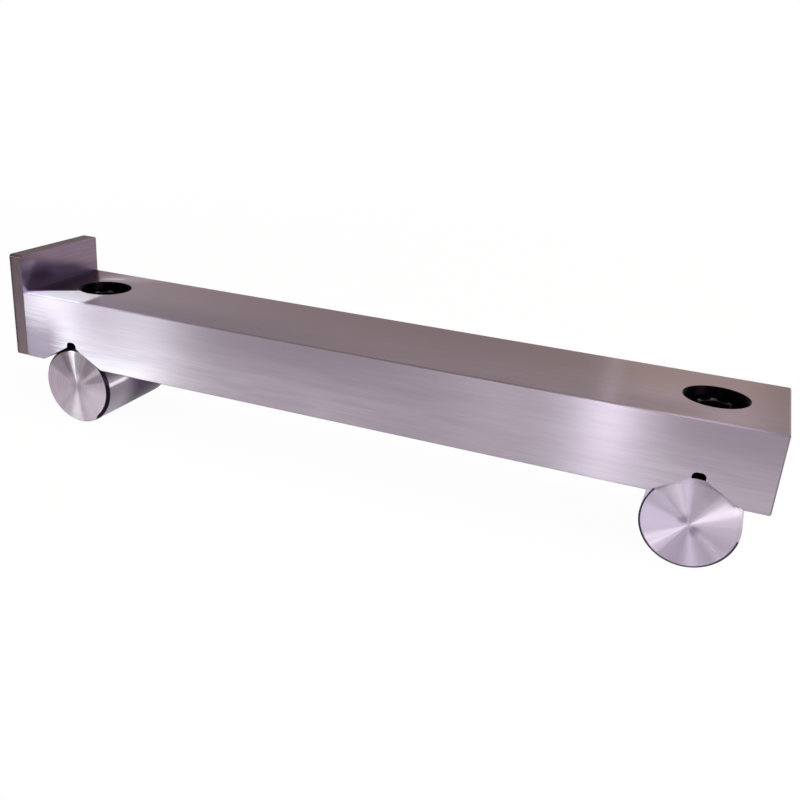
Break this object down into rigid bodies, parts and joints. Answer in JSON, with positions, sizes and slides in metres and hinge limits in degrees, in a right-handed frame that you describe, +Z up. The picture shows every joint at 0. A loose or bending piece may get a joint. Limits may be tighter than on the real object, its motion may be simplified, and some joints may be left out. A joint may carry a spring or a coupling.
{
  "type": "sine bar",
  "caption": "Ground steel sine bar on turned rollers seated in vee notches, with a flat stop plate across one end, used to set an angle over gauge blocks.",
  "frame": {"origin": "under the middle of the whole object, on the surface that the two rollers stand on", "axes": "+X along the bar from the stop plate to the free end, +Y from the front side to the back side, +Z up out of the working face"},
  "size_m": [0.1538, 0.025, 0.0354],
  "materials": {
    "ground_steel": "hardened steel, surface ground along its length",
    "plate_steel": "ground steel plate",
    "turned_steel": "turned and ground steel, faced ends with turning marks",
    "black_steel": "black oxide"
  },
  "bodies": {
    "root": {"bar_body": "ground_steel", "stop_plate": "plate_steel", "stop_end_roller": "turned_steel", "free_end_roller": "turned_steel", "stop_end_roller_screw": "black_steel", "free_end_roller_screw": "black_steel", "plate_screw_front": "black_steel", "plate_screw_back": "black_steel"}
  },
  "joints": []
}
